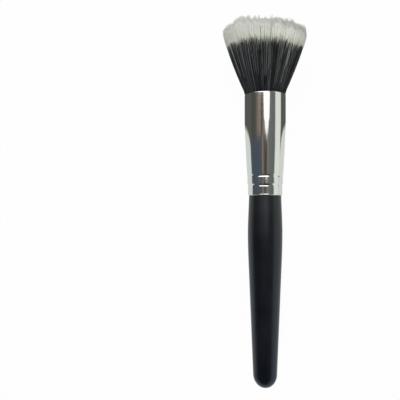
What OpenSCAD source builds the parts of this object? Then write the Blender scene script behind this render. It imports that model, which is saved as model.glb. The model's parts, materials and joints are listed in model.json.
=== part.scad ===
// Stippling brush, lying as it comes to rest on a table.
// Each piece is drawn upright on the Z axis, butt at the origin, and then laid down.

/* [Handle] */
// Length of the handle that shows below the ferrule
handle_len = 91; // [70:1:120]
// Diameter at the thickest place, the belly
belly_d = 16.3; // [15.5:0.1:20]
// Distance of the belly below the ferrule
belly_drop = 18; // [12:1:26]
// Diameter where the straight taper runs into the belly
taper_d = 15; // [13:0.05:16]
// Distance of that place below the belly
taper_drop = 21; // [12:1:30]
// Diameter where the rounded butt begins
butt_d = 11.3; // [9:0.1:14]
// Length of the rounded butt
butt_len = 6.5; // [5:0.5:9]
// Length of the tenon that stands in the ferrule
tenon_len = 16; // [13:0.5:19]
// Chamfer at the end of the tenon
tenon_chamfer = 0.8; // [0.4:0.1:1.5]

/* [Ferrule] */
// Length from the handle to the mouth
ferrule_len = 47.5; // [45:0.5:60]
// Length of the straight barrel below the mouth
barrel_len = 13; // [10:0.5:20]
// Outside diameter of the barrel
barrel_d = 19.3; // [18:0.1:24]
// Outside diameter of the tail round the handle
tail_d = 16.1; // [15:0.1:17]
// Step outwards from the tail to the band between the crimps
band_step = 0.3; // [0.2:0.05:0.5]
// Step outwards from that band to the cone above the crimps
cone_step = 0.1; // [0.05:0.05:0.3]
// Wall thickness of the drawn tube
wall = 0.45; // [0.3:0.05:0.6]
// Radius of the rounded edge at the mouth and at the tail
lip_r = 0.35; // [0.1:0.05:0.6]
// Height of the upper crimp above the tail
upper_crimp = 9.1; // [8:0.1:11]
// Height of the lower crimp above the tail
lower_crimp = 4.8; // [3:0.1:5.5]
// Width of a crimp
crimp_w = 1.2; // [0.8:0.1:2]
// Depth of a crimp
crimp_depth = 0.14; // [0.1:0.02:0.4]

/* [Hair] */
// Number of locks round the bundle
locks = 54; // [36:2:60]
// Length of hair from the mouth to the widest place
flare_len = 29; // [24:0.5:40]
// Diameter of the head at its widest place
head_d = 39.8; // [34:0.2:46]
// Length of white between the dark tips and the widest place
white_len = 7; // [4:0.5:12]
// Height of the rounded shoulder above the widest place
shoulder_h = 2; // [1:0.1:3]
// Width of the rounded shoulder
shoulder_w = 2.2; // [1:0.1:4]
// Rise of the domed top above the shoulder
dome_h = 1.5; // [0.5:0.1:4]
// Depth of the furrow between two locks at the mouth
furrow_low = 0.4; // [0.3:0.05:0.7]
// Depth of the furrow between two locks at the dark tips
furrow_high = 1; // [0.5:0.05:1.4]
// Depth of the furrow between two locks at the rim of the head
furrow_rim = 0.3; // [0.1:0.05:0.6]
// Furthest that a dark tip ends above or below its fellows
dark_ragged = 1.5; // [0.5:0.1:2.5]
// Furthest that a white tip ends above or below its fellows
white_ragged = 0.8; // [0.2:0.1:1.2]
// Share of the furrows in which white fibres show
strand_share = 0.5; // [0.1:0.05:0.9]
// Width of a white strand, as a share of the way from furrow to crest
strand_width = 0.55; // [0.3:0.05:0.7]
// How far the soft rim is pressed flat where the head lies
press = 0.5; // [0.2:0.1:1]

/* [Glue] */
// Thickness of the resin plug that holds the roots
plug_len = 10; // [6:0.5:12]
// Air space between the tenon and the plug
air_len = 5.5; // [1:0.5:8]

/* [Clearances] */
// Gap between the tenon and the ferrule, and of the glue beside them
fit_gap = 0.05; // [0.02:0.01:0.1]
// Gap between the hair and the ferrule, and between dark and white
hair_gap = 0.08; // [0.05:0.01:0.12]

/* [Hidden] */
$fn = 96;

// Heights on the brush's own axis, measured from the butt
belly_z = handle_len - belly_drop;
taper_z = belly_z - taper_drop;
lower_z = handle_len + lower_crimp;
upper_z = handle_len + upper_crimp;
tenon_z = handle_len + tenon_len;
mouth_z = handle_len + ferrule_len;
crease_z = mouth_z - barrel_len;
root_z = tenon_z + air_len + plug_len;
wide_z = mouth_z + flare_len;
dark_z = wide_z - white_len;
shoulder_z = wide_z + shoulder_h;

// Slopes, as radius per height, where two stretches of an outline meet
taper_slope = (taper_d - butt_d) / 2 / (taper_z - butt_len);
neck_slope = -0.02;
cone_slope = 0.065;
crease_slope = 0.03;
mouth_slope = 0.45;
wide_slope = 0.25;

// Steps along the outlines
butt_steps = 10;
belly_steps = 7;
neck_steps = 6;
crimp_steps = 8;
cone_steps = 9;
lip_steps = 4;

// Smooth step from 0 to 1, and a curve between two values with a slope at each end
function smooth(t) = let (u = min(1, max(0, t))) u * u * (3 - 2 * u);
function curve(t, a, b, slope_a, slope_b, span) =
    a * (2 * pow(t, 3) - 3 * pow(t, 2) + 1)
    + slope_a * span * (pow(t, 3) - 2 * pow(t, 2) + t)
    + b * (3 * pow(t, 2) - 2 * pow(t, 3))
    + slope_b * span * (pow(t, 3) - pow(t, 2));

// Outside of the ferrule without its crimps: tail, band, cone and barrel
cone_z = upper_z + crimp_w / 2;
cone_len = crease_z - cone_z;
cone_r = tail_d / 2 + band_step + cone_step;
function plain_r(z) =
    z >= crease_z ? barrel_d / 2
    : z > cone_z ? curve((z - cone_z) / cone_len, cone_r, barrel_d / 2, cone_slope, crease_slope, cone_len)
    : tail_d / 2
      + band_step * smooth((z - lower_z) / crimp_w + 0.5)
      + cone_step * smooth((z - upper_z) / crimp_w + 0.5);

// Both crimps dent the tube, and the tenon inside it
function dent(x) = crimp_depth * max(0, 1 - pow(2 * x / crimp_w, 2));
function dents(z) = dent(z - lower_z) + dent(z - upper_z);
function ferrule_r(z) = plain_r(z) - dents(z);
function bore_r(z) = ferrule_r(z) - wall;

// Heights at which the crimps, the cone, and the whole tube are drawn
function crimp_heights(middle) = [for (i = [0:crimp_steps]) middle + crimp_w * (i / crimp_steps - 0.5)];
both_crimps = concat(crimp_heights(lower_z), crimp_heights(upper_z));
cone_heights = [for (i = [1:cone_steps]) cone_z + cone_len * i / cone_steps];
tube_heights = concat(both_crimps, cone_heights);

// How the brush lies: the table touches the round butt and the pressed rim of the head.
// The line of the table, as radius over height, is tangent to the butt's ellipse.
rim_r = head_d / 2 - press;
reach = wide_z - butt_len;
lean = (rim_r * reach - sqrt(pow(rim_r * reach, 2)
        - (pow(reach, 2) - pow(butt_len, 2)) * (pow(rim_r, 2) - pow(butt_d / 2, 2))))
       / (pow(reach, 2) - pow(butt_len, 2));
tilt = atan(lean);
table_r = rim_r - lean * wide_z;
function table_y(z) = table_r + lean * z;

// Middle of the brush along the table, between the butt and the top of the shoulder
butt_y = butt_len * cos(tilt) - norm([butt_len * cos(tilt), butt_d / 2 * sin(tilt)]);
top_y = (shoulder_z + white_ragged) * cos(tilt) + (head_d / 2 - shoulder_w) * sin(tilt);

module lay_down() {
    translate([0, -(butt_y + top_y) / 2, table_r * cos(tilt)])
    rotate([tilt - 90, 0, 0])
    children();
}

// The handle, turned from one piece of wood with its tenon
neck_r = bore_r(handle_len) - fit_gap;
function tenon_r(z) = neck_r - dents(z);
butt_points = [for (i = [0:butt_steps]) let (t = 90 * i / butt_steps)
               [butt_d / 2 * sin(t), butt_len * (1 - cos(t))]];
belly_points = [for (i = [0:belly_steps]) let (t = i / belly_steps)
                [curve(t, taper_d / 2, belly_d / 2, taper_slope, 0, taper_drop), taper_z + taper_drop * t]];
neck_points = [for (i = [1:neck_steps]) let (t = i / neck_steps)
               [curve(t, belly_d / 2, neck_r, 0, neck_slope, belly_drop), belly_z + belly_drop * t]];
tenon_points = [for (z = both_crimps) [tenon_r(z), z]];

module handle() {
    color([0.10, 0.11, 0.12])
    lay_down()
    rotate_extrude()
    polygon(concat(
        butt_points, belly_points, neck_points, tenon_points,
        [[neck_r, tenon_z - tenon_chamfer], [neck_r - tenon_chamfer, tenon_z], [0, tenon_z]]));
}

// The ferrule, a thin tube drawn to a cone, rounded at both edges and crimped on the tenon
edge_r = min(lip_r, wall * 0.9);
function edge_points(r, z, way) =
    [for (i = [0:lip_steps]) let (t = 90 * i / lip_steps)
     [r - edge_r + edge_r * (way > 0 ? cos(t) : sin(t)),
      z - way * edge_r + way * edge_r * (way > 0 ? sin(t) : cos(t))]];

module ferrule() {
    outside = [for (z = tube_heights) [ferrule_r(z), z]];
    inside = [for (i = [len(tube_heights) - 1:-1:0]) [bore_r(tube_heights[i]), tube_heights[i]]];
    color([0.80, 0.81, 0.80])
    lay_down()
    rotate_extrude()
    polygon(concat(
        edge_points(tail_d / 2, handle_len, -1), outside, edge_points(barrel_d / 2, mouth_z, 1),
        [[bore_r(mouth_z), mouth_z]], inside, [[bore_r(handle_len), handle_len]]));
}

// Glue that fills the gap round the tenon above the lower crimp
glue_heights = concat(
    [lower_z + crimp_w / 2], crimp_heights(upper_z),
    [for (z = cone_heights) if (z < tenon_z - tenon_chamfer) z], [tenon_z - tenon_chamfer]);

module tenon_glue() {
    outside = [for (z = glue_heights) [bore_r(z) - fit_gap, z]];
    inside = [for (i = [len(glue_heights) - 1:-1:0]) [tenon_r(glue_heights[i]) + fit_gap, glue_heights[i]]];
    color([0.85, 0.80, 0.62])
    lay_down()
    rotate_extrude()
    polygon(concat(outside, inside));
}

// The plug of cast resin under the roots of all the hair
plug_heights = [for (i = [0:cone_steps]) tenon_z + air_len + plug_len * i / cone_steps];

module hair_glue() {
    color([0.72, 0.55, 0.28])
    lay_down()
    rotate_extrude()
    polygon(concat(
        [[0, tenon_z + air_len]], [for (z = plug_heights) [bore_r(z) - fit_gap, z]], [[0, root_z]]));
}

// The bundle of hair: its outside follows the bore and flares above the mouth
function bundle_r(z) =
    z <= mouth_z ? bore_r(z) - hair_gap
    : curve((z - mouth_z) / flare_len, bore_r(mouth_z) - hair_gap, head_d / 2,
            mouth_slope, wide_slope, flare_len);
function furrow(z) =
    z <= dark_z ? furrow_low + (furrow_high - furrow_low) * smooth((z - mouth_z) / (dark_z - mouth_z))
    : furrow_high + (furrow_rim - furrow_high) * smooth((z - dark_z) / white_len);

// Columns of points: even ones run along the crest of a lock, odd ones along a furrow
columns = 2 * locks;
sway = rands(-0.3, 0.3, columns, 11);
tip_luck = rands(0, 1, columns, 23);
strand_luck = rands(0, 1, columns, 37);
function angle(j) = 360 * (j + sway[j % columns]) / columns;
function crest(j) = j % 2 == 0;
function hair_r(j, z) = bundle_r(z) - (crest(j) ? 0 : furrow(z));
function around(j, r, z) = [r * sin(angle(j)), -r * cos(angle(j)), z];
function tip_z(j) = dark_z + dark_ragged * (crest(j) ? tip_luck[j] : -tip_luck[j]);

// A closed skin over rings of points, from a lower middle point to an upper one
module skin(rings, low, high) {
    count = len(rings[0]);
    last = len(rings) - 1;
    points = concat([low, high], [for (ring = rings) each ring]);
    function at(i, j) = 2 + i * count + j % count;
    polyhedron(points, concat(
        [for (j = [0:count - 1]) [0, at(0, j), at(0, j + 1)]],
        [for (j = [0:count - 1]) [1, at(last, j + 1), at(last, j)]],
        [for (i = [0:last - 1], j = [0:count - 1]) [at(i, j), at(i + 1, j), at(i, j + 1)]],
        [for (i = [0:last - 1], j = [0:count - 1]) [at(i + 1, j), at(i + 1, j + 1), at(i, j + 1)]]));
}

// Heights at which the hair is drawn below its dark tips, closer together near the mouth
flare_steps = 6;
flare_crowding = 1.3;
settle = 1;
flare_top_z = dark_z - dark_ragged - settle;
hair_heights = concat(
    [root_z, max(root_z + settle, crease_z), mouth_z],
    [for (i = [1:flare_steps]) mouth_z + (flare_top_z - mouth_z) * pow(i / flare_steps, flare_crowding)]);

// The dark hair's ragged top, level in the middle. The white crown sits on the same top.
top_shares = [1, 0.75, 0.45, 0.15];
function dark_top(share, lift) =
    [for (j = [0:columns - 1])
     around(j, hair_r(j, tip_z(j)) * share, dark_z + (tip_z(j) - dark_z) * share + lift)];

module dark_hair() {
    sides = [for (z = hair_heights) [for (j = [0:columns - 1]) around(j, hair_r(j, z), z)]];
    top = [for (share = top_shares) dark_top(share, 0)];
    color([0.13, 0.13, 0.14])
    lay_down()
    skin(concat(sides, top), [0, 0, root_z], [0, 0, dark_z]);
}

// White crown: it stands on the dark tips, widens to the rim and ends in a ragged dome
crown_steps = 4;
shoulder_angles = [0, 30, 60, 90];
dome_shares = [0.88, 0.72, 0.54, 0.36, 0.18];
dome_r = head_d / 2 - shoulder_w - furrow_rim;
tuft_luck = rands(-1, 1, columns * len(dome_shares), 53);
tuft_share = 0.6;
function tuft(i, j) =
    white_ragged * ((1 - tuft_share) * tuft_luck[i * columns + j] + tuft_share * ((i + j) % 2 == 0 ? 1 : -1));
function pressed(p) = [p[0], min(p[1], table_y(p[2])), p[2]];
function crown_z(share, j) = let (low = tip_z(j) + hair_gap) low + (wide_z - low) * share;
function crown_side(share) =
    [for (j = [0:columns - 1]) pressed(around(j, hair_r(j, crown_z(share, j)), crown_z(share, j)))];
function crown_shoulder(t) =
    [for (j = [0:columns - 1]) pressed(around(
        j, head_d / 2 - shoulder_w * (1 - cos(t)) - (crest(j) ? 0 : furrow_rim),
        wide_z + shoulder_h * sin(t) + tuft(0, j) * sin(t)))];
function crown_dome(i) =
    let (share = dome_shares[i])
    [for (j = [0:columns - 1])
     around(j, dome_r * share, shoulder_z + dome_h * (1 - share * share) + tuft(i, j) * share)];

module white_crown() {
    under = [for (i = [len(top_shares) - 1:-1:0]) dark_top(top_shares[i], hair_gap)];
    sides = [for (i = [1:crown_steps - 1]) crown_side(i / crown_steps)];
    shoulder = [for (t = shoulder_angles) crown_shoulder(t)];
    dome = [for (i = [0:len(dome_shares) - 1]) crown_dome(i)];
    color([0.80, 0.82, 0.78])
    lay_down()
    skin(concat(under, sides, shoulder, dome),
         [0, 0, dark_z + hair_gap], [0, 0, shoulder_z + dome_h]);
}

// White strand: a few long fibres that lie in a furrow, from the roots to the crown
function between(a, b, share) = a + (b - a) * share;
function strand_ring(j, z) =
    let (
        out = [sin(angle(j)), -cos(angle(j)), 0],
        bottom = around(j, hair_r(j, z), z),
        left = between(bottom, around(j - 1 + columns, hair_r(j - 1, z), z), strand_width),
        right = between(bottom, around(j + 1, hair_r(j + 1, z), z), strand_width),
        face = around(j, bundle_r(z) - hair_gap, z))
    [for (p = [bottom, left, face, right]) p + out * hair_gap];

module strand(j) {
    rings = [for (z = concat(hair_heights, [tip_z(j)])) strand_ring(j, z)];
    last = len(rings) - 1;
    function at(i, k) = i * 4 + k % 4;
    polyhedron([for (ring = rings) each ring], concat(
        [[for (k = [0:3]) at(0, k)], [for (k = [3:-1:0]) at(last, k)]],
        [for (i = [0:last - 1], k = [0:3]) [at(i, k), at(i + 1, k), at(i, k + 1)]],
        [for (i = [0:last - 1], k = [0:3]) [at(i + 1, k), at(i + 1, k + 1), at(i, k + 1)]]));
}

module white_strands() {
    color([0.74, 0.76, 0.72])
    lay_down()
    for (j = [1:2:columns - 1])
        if (strand_luck[j] < strand_share) strand(j);
}

handle();
tenon_glue();
ferrule();
hair_glue();
dark_hair();
white_strands();
white_crown();
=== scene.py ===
"""Looks of a stippling brush that lies on a pale floor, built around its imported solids."""

import json
import logging
import math
from dataclasses import dataclass, replace
from enum import Enum
from typing import Any, Sequence

import bmesh
import bpy
import numpy as np
from mathutils import Matrix, Vector


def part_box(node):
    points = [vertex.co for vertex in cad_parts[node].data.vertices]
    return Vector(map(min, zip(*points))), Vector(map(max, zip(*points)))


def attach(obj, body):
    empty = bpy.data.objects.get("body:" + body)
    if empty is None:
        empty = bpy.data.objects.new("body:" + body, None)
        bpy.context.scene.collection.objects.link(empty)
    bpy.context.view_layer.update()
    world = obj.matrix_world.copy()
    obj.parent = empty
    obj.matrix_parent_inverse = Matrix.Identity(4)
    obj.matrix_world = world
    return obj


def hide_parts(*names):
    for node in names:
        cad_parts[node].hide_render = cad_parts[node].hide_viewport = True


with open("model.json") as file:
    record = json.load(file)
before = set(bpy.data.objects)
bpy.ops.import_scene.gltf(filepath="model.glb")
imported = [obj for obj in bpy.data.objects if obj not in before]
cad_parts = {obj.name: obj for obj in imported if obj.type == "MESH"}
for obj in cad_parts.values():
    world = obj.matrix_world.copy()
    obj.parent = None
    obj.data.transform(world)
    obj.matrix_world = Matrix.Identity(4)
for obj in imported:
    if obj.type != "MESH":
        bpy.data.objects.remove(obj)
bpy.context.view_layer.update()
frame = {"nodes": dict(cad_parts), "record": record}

MM = 0.001
BODY = "root"
LOG = logging.getLogger("brush")
# Noise stays between these two values almost everywhere.
NOISE_LOW = 0.3
NOISE_HIGH = 0.7

Profile = list[tuple[float, float]]
Stops = Sequence[tuple[float, str]]
Inputs = dict[str, Any]
Tree = bpy.types.NodeTree
Node = bpy.types.Node


class Slot(Enum):
    """The record's material slots."""

    HANDLE = "handle"
    GLUE = "glue"
    FERRULE = "ferrule"
    RESIN = "resin"
    DARK_HAIR = "dark_hair"
    WHITE_FIBRES = "white_fibres"


class Light(Enum):
    """How much of a white card's brightness each light of the studio gives."""

    KEY = 0.53
    FILL = 0.04
    END = 0.14
    SKY = 0.39
    MIRRORED = 1.16


class Wall(Enum):
    """What stands round the brush and is mirrored in its metal."""

    CEILING = "#454341"
    CEILING_BEAM = "#7c736c"
    WARM_WALL = "#796f64"
    BROWN_WALL = "#554d48"
    OLIVE_WALL = "#484844"
    BLACK_FLAG = "#51534f"
    COOL_WALL = "#444d58"
    END_WALL = "#34343a"
    GREY_WALL = "#656966"
    GREY_EDGE = "#5b605d"
    REFLECTOR = "#d3d7d1"
    PAPER = "#cacdc9"
    SOFTBOX = "#ffffff"


def smooth(t: np.ndarray | float) -> np.ndarray | float:
    """Height of a smooth step from 0 to 1 at each place on it."""
    u = np.clip(t, 0.0, 1.0)
    return u * u * (3 - 2 * u)


def hermite(t: np.ndarray | float, start: float, end: float, slope_start: float,
            slope_end: float, span: float) -> np.ndarray | float:
    """A curve between two values with a slope at each end, as the solids have it.

    Args:
        t: Where on the curve, from 0 to 1.
        start: Value at 0.
        end: Value at 1.
        slope_start: Slope at 0, in value per length.
        slope_end: Slope at 1, in value per length.
        span: Length of the curve.

    Returns:
        The value there.
    """
    return (start * (2 * t**3 - 3 * t**2 + 1) + slope_start * span * (t**3 - 2 * t**2 + t)
            + end * (3 * t**2 - 2 * t**3) + slope_end * span * (t**3 - t**2))


@dataclass(frozen=True)
class Axis:
    """The brush's own axis, as it lies in the row frame.

    Attributes:
        lie: Matrix that takes a point of the upright brush, in millimetres, to its place in metres.
    """

    lie: Matrix

    @classmethod
    def from_mount(cls, mount: dict[str, Any], height: float) -> "Axis":
        """Reads the lie from the mount on the ferrule's barrel.

        Args:
            mount: The record's mount, whose axis points towards the butt.
            height: Height of the mount's middle on the upright brush, in millimetres.

        Returns:
            The axis.
        """
        along = -Vector(mount["axis"]).normalized()
        across = Vector((1.0, 0.0, 0.0))
        down = along.cross(across)
        origin = Vector(mount["pos_m"]) - along * height * MM
        turn = Matrix((across * MM, down * MM, along * MM)).transposed().to_4x4()
        return cls(Matrix.Translation(origin) @ turn)

    def place(self, points: np.ndarray) -> np.ndarray:
        """Takes upright points in millimetres to where they lie, in metres."""
        whole = np.array(self.lie)
        return points @ whole[:3, :3].T + whole[:3, 3]


@dataclass(frozen=True)
class HandleSizes:
    """Sizes of the turned handle, in millimetres.

    Attributes:
        length: Length that shows below the ferrule.
        belly_d: Diameter at the thickest place.
        belly_drop: Distance of the belly below the ferrule.
        taper_d: Diameter where the straight taper runs into the belly.
        taper_drop: Distance of that place below the belly.
        butt_d: Diameter where the rounded butt begins.
        butt_len: Length of the rounded butt.
        tenon_len: Length of the tenon in the ferrule.
        tenon_chamfer: Chamfer at its end.
        neck_slope: Slope of the outline where it enters the ferrule.
    """

    length: float = 91.0
    belly_d: float = 16.3
    belly_drop: float = 18.0
    taper_d: float = 15.0
    taper_drop: float = 21.0
    butt_d: float = 11.3
    butt_len: float = 6.5
    tenon_len: float = 16.0
    tenon_chamfer: float = 0.8
    neck_slope: float = -0.02


@dataclass(frozen=True)
class FerruleSizes:
    """Sizes of the drawn tube, in millimetres, with heights above its tail.

    Attributes:
        length: Length from the handle to the mouth.
        barrel_len: Length of the straight barrel below the mouth.
        barrel_d: Outside diameter of the barrel.
        tail_d: Outside diameter of the tail round the handle.
        band_step: Step outwards from the tail to the band between the crimps.
        cone_step: Step outwards from that band to the cone.
        wall: Wall thickness.
        lip_r: Radius of the rounded edges.
        upper_crimp: Height of the upper crimp.
        lower_crimp: Height of the lower crimp.
        crimp_w: Width of a crimp.
        crimp_depth: Depth of a crimp.
        flare: How far the tail opens at its edge.
        flare_len: Length over which it opens.
        cone_slope: Slope of the outline at the foot of the cone.
        crease_slope: Slope of the outline just below the barrel.
        fit_gap: Gap between the tube and the tenon.
    """

    length: float = 47.5
    barrel_len: float = 13.0
    barrel_d: float = 19.3
    tail_d: float = 16.1
    band_step: float = 0.3
    cone_step: float = 0.1
    wall: float = 0.45
    lip_r: float = 0.35
    upper_crimp: float = 9.1
    lower_crimp: float = 4.8
    crimp_w: float = 1.2
    crimp_depth: float = 0.14
    flare: float = 0.03
    flare_len: float = 0.3
    cone_slope: float = 0.065
    crease_slope: float = 0.03
    fit_gap: float = 0.05


@dataclass(frozen=True)
class HeadSizes:
    """Sizes of the head of hair, in millimetres.

    Attributes:
        flare_len: Length from the mouth to the widest place.
        head_d: Diameter at the widest place.
        white_len: Length of white between the dark tips and the widest place.
        shoulder_h: Height of the rounded shoulder.
        shoulder_w: Width of the rounded shoulder.
        dome_h: Rise of the domed top above the shoulder.
        hair_gap: Gap between the hair and the ferrule.
        mouth_slope: Slope of the outline at the mouth.
        wide_slope: Slope of the outline at the widest place.
    """

    flare_len: float = 29.0
    head_d: float = 39.8
    white_len: float = 7.0
    shoulder_h: float = 2.0
    shoulder_w: float = 2.2
    dome_h: float = 1.5
    hair_gap: float = 0.08
    mouth_slope: float = 0.45
    wide_slope: float = 0.25


HANDLE = HandleSizes()
FERRULE = FerruleSizes()
HEAD = HeadSizes()
MOUTH = HANDLE.length + FERRULE.length
CREASE = MOUTH - FERRULE.barrel_len
WIDE = MOUTH + HEAD.flare_len
DARK_TOP = WIDE - HEAD.white_len
BARREL_MIDDLE = (CREASE + MOUTH - FERRULE.lip_r) / 2


def linear(code: str) -> tuple[float, float, float, float]:
    """Turns an sRGB hex code to the linear colour that a shader takes.

    Args:
        code: Six hex digits after a hash.

    Returns:
        Red, green, blue and an alpha of 1.
    """
    parts = [int(code[i:i + 2], 16) / 255 for i in (1, 3, 5)]
    red, green, blue = (c / 12.92 if c <= 0.04045 else ((c + 0.055) / 1.055) ** 2.4 for c in parts)
    return red, green, blue, 1.0


def add_node(tree: Tree, kind: str, inputs: Inputs | Sequence[Any] = (), stops: Stops = (),
             **settings: Any) -> Node:
    """Adds one shader node with its settings, its values and the links into it.

    Args:
        tree: The tree that takes the node.
        kind: The node's type, without the words that all of them start with.
        inputs: What the inputs take, by name or in the order in which they show. Each takes a value,
            a colour's hex code, a socket, or a node whose first output feeds it.
        stops: For a colour ramp, the place and the hex code of each stop, in order.
        **settings: The node's own settings.

    Returns:
        The node.
    """
    node = tree.nodes.new(f"ShaderNode{kind}")
    for name, value in settings.items():
        setattr(node, name, value)
    if isinstance(inputs, dict):
        pairs = [(node.inputs[name], value) for name, value in inputs.items()]
    else:
        pairs = zip([socket for socket in node.inputs if socket.enabled], inputs)
    for socket, value in pairs:
        if isinstance(value, Node):
            value = next(output for output in value.outputs if output.enabled)
        if isinstance(value, bpy.types.NodeSocket):
            tree.links.new(value, socket)
        else:
            socket.default_value = linear(value) if isinstance(value, str) else value
    if stops:
        elements = node.color_ramp.elements
        for _ in stops[len(elements):]:
            elements.new(1.0)
        for element, (place, code) in zip(elements, stops):
            element.position = place
            element.color = linear(code)
    return node


def add_grain(tree: Tree, size_mm: float, detail: float,
              scale: tuple[float, float, float] = (1.0, 1.0, 1.0)) -> Node:
    """Adds noise on Object coordinates.

    Args:
        tree: The tree.
        size_mm: Size of its spots, in millimetres.
        detail: How many finer levels of spots it has.
        scale: Scale along each axis. One below 1 draws the spots out that way.

    Returns:
        The noise.
    """
    place = add_node(tree, "TexCoord").outputs["Object"]
    drawn_out = add_node(tree, "Mapping", {"Vector": place, "Scale": scale})
    return add_node(tree, "TexNoise", {"Vector": drawn_out, "Scale": 1 / (size_mm * MM), "Detail": detail})


def new_material(name: str) -> bpy.types.Material:
    """Makes a material with an empty tree.

    Args:
        name: The material's name.

    Returns:
        The material.
    """
    material = bpy.data.materials.new(name)
    material.use_nodes = True
    material.node_tree.nodes.clear()
    return material


class Finish:
    """A finish of the brush. Each kind of finish is a dataclass of its own."""

    name: str

    def inputs(self, tree: Tree) -> Inputs:
        """Says what the principled shader takes. Each kind of finish has its own way."""
        raise NotImplementedError

    def material(self) -> bpy.types.Material:
        """Builds the material.

        Returns:
            The material, which ends in one principled shader.
        """
        material = new_material(self.name)
        tree = material.node_tree
        shader = add_node(tree, "BsdfPrincipled", self.inputs(tree))
        add_node(tree, "OutputMaterial", [shader])
        return material


@dataclass(frozen=True)
class SatinLacquer(Finish):
    """Black polyurethane lacquer, sprayed on turned wood and left satin.

    It gives a charcoal black with a broad soft sheen along both sides, and a skin that is not quite
    even, as sprayed lacquer is. A painted sheen makes it greyer by the ferrule, and the tint of its
    reflections is painted bluer towards the butt.

    Attributes:
        name: The material's name.
        dark: Colour of the thick places.
        light: Colour of the thin places.
        ior: Refractive index of the hard lacquer.
        neck: Painted sheen colour where the handle enters the ferrule.
        neck_sheen_mm: Length over which it fades.
        sheen: Tint of what it mirrors.
        butt_sheen: The same at the butt, painted bluer.
        roughness: Lowest and highest roughness of the satin skin.
        peel_mm: Size of the faint orange peel.
        peel_depth_mm: Depth of the orange peel.
        peel_strength: How much of that depth shows.
        cloud_mm: Size of the clouds in the sheen.
    """

    name: str = "satin_black_lacquer"
    dark: str = "#08080b"
    light: str = "#0f0f14"
    ior: float = 1.62
    neck: str = "#171b1e"
    neck_sheen_mm: float = 12.0
    sheen: str = "#e2e6ea"
    butt_sheen: str = "#b9d1ff"
    roughness: tuple[float, float] = (0.3, 0.37)
    peel_mm: float = 1.1
    peel_depth_mm: float = 0.05
    peel_strength: float = 0.05
    cloud_mm: float = 9.0

    def inputs(self, tree: Tree) -> Inputs:
        """Clouds the lacquer, paints a sheen into its colour by the ferrule, and paints its reflections bluer
        towards the butt.

        Args:
            tree: The material's tree.

        Returns:
            What the principled shader takes.
        """
        clouds = add_grain(tree, self.cloud_mm, detail=3.0)
        colour = add_node(tree, "ValToRGB", [clouds], [(NOISE_LOW, self.dark), (NOISE_HIGH, self.light)])
        rough = add_node(tree, "MapRange", [clouds, NOISE_LOW, NOISE_HIGH, *self.roughness])
        peel = add_node(tree, "Bump", {"Height": add_grain(tree, self.peel_mm, detail=2.0),
                                       "Strength": self.peel_strength, "Distance": self.peel_depth_mm * MM})
        place = add_node(tree, "TexCoord").outputs["Object"]
        along = add_node(tree, "SeparateXYZ", [place]).outputs["Y"]
        tail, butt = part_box("ferrule")[0].y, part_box("handle")[0].y
        # Painted sheen: the colour turns greyer towards the ferrule, standing in for the light from the
        # head's end that the neck mirrors.
        painted_neck_sheen = add_node(tree, "MapRange", [along, tail - self.neck_sheen_mm * MM, tail],
                             interpolation_type="SMOOTHSTEP")
        # Painted reflection colour: what the lacquer mirrors is tinted bluer towards the butt.
        painted_blue_reflection = add_node(tree, "MapRange", [along, tail, butt])
        base = add_node(tree, "Mix", [painted_neck_sheen, colour, self.neck], data_type="RGBA")
        sheen = add_node(tree, "Mix", [painted_blue_reflection, self.sheen, self.butt_sheen], data_type="RGBA")
        return {"Base Color": base, "Roughness": rough, "IOR": self.ior, "Specular Tint": sheen,
                "Normal": peel}


@dataclass(frozen=True)
class PolishedAluminium(Finish):
    """Aluminium tube, drawn on a mandrel and polished bright while it turned.

    It mirrors the studio in long bands, broken a little by the fine rings that the
    polishing left.

    Attributes:
        name: The material's name.
        colour: Colour of the metal.
        roughness: Lowest and highest roughness of the polish.
        ring_mm: Spacing of the polishing rings, drawn coarser than they are so that they show.
        ring_scale: Scale of their noise along each axis, which draws it out round the tube.
        ring_depth_mm: Depth of the rings.
        ring_strength: How much of that depth shows.
    """

    name: str = "polished_aluminium"
    colour: str = "#eff0ee"
    roughness: tuple[float, float] = (0.05, 0.11)
    ring_mm: float = 0.35
    ring_scale: tuple[float, float, float] = (0.06, 1.0, 0.06)
    ring_depth_mm: float = 0.02
    ring_strength: float = 0.04

    def inputs(self, tree: Tree) -> Inputs:
        """Lays the polishing rings across the brush.

        Args:
            tree: The material's tree.

        Returns:
            What the principled shader takes.
        """
        rings = add_grain(tree, self.ring_mm, detail=3.0, scale=self.ring_scale)
        rough = add_node(tree, "MapRange", [rings, NOISE_LOW, NOISE_HIGH, *self.roughness])
        bump = add_node(tree, "Bump", {"Height": rings, "Strength": self.ring_strength,
                                       "Distance": self.ring_depth_mm * MM})
        return {"Base Color": self.colour, "Metallic": 1.0, "Roughness": rough, "Normal": bump}


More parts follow.
